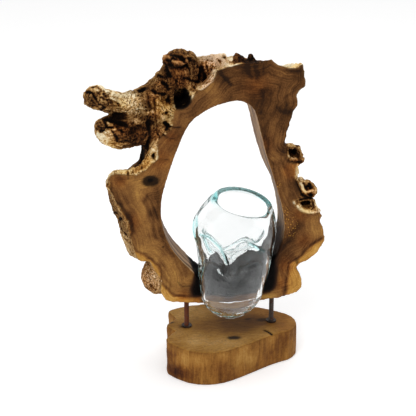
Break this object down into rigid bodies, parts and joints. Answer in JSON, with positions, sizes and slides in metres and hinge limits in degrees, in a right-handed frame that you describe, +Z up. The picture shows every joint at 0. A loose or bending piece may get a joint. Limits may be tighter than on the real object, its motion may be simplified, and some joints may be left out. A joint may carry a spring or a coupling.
{
  "type": "vase on a root wood stand",
  "caption": "Clear glass vase slumped over the lower bar of an upright root wood ring, which stands on threaded rods above a solid wooden base block.",
  "frame": {"origin": "centre of the underside of the wooden base block, on the surface it stands on", "axes": "+Z up, +X to the right of the open front of the vase, +Y towards the back"},
  "size_m": [0.2732, 0.122, 0.3912],
  "materials": {
    "base_wood": "sanded and oiled golden brown hardwood",
    "root_wood": "sawn and oiled faces, weathered bark and burl, charred where the glass rests",
    "clear_glass": "clear blown glass, faintly turquoise where it is thick",
    "rusty_steel": "threaded rod, rusted brown",
    "dark_steel": "dull, darkened"
  },
  "bodies": {
    "stand": {"base_block": "base_wood", "root_ring": "root_wood", "left_post": "rusty_steel", "right_post": "rusty_steel", "left_washer": "dark_steel", "right_washer": "dark_steel", "left_plate": "dark_steel", "right_plate": "dark_steel", "left_nut": "dark_steel", "right_nut": "dark_steel"},
    "vase": {"glass_vase": "clear_glass"}
  },
  "joints": [
    {"name": "vase_lift", "type": "slide", "parent": "stand", "child": "vase", "axis": [-0.2425, 0, 0.9701], "range_m": [0, 0.06]}
  ]
}
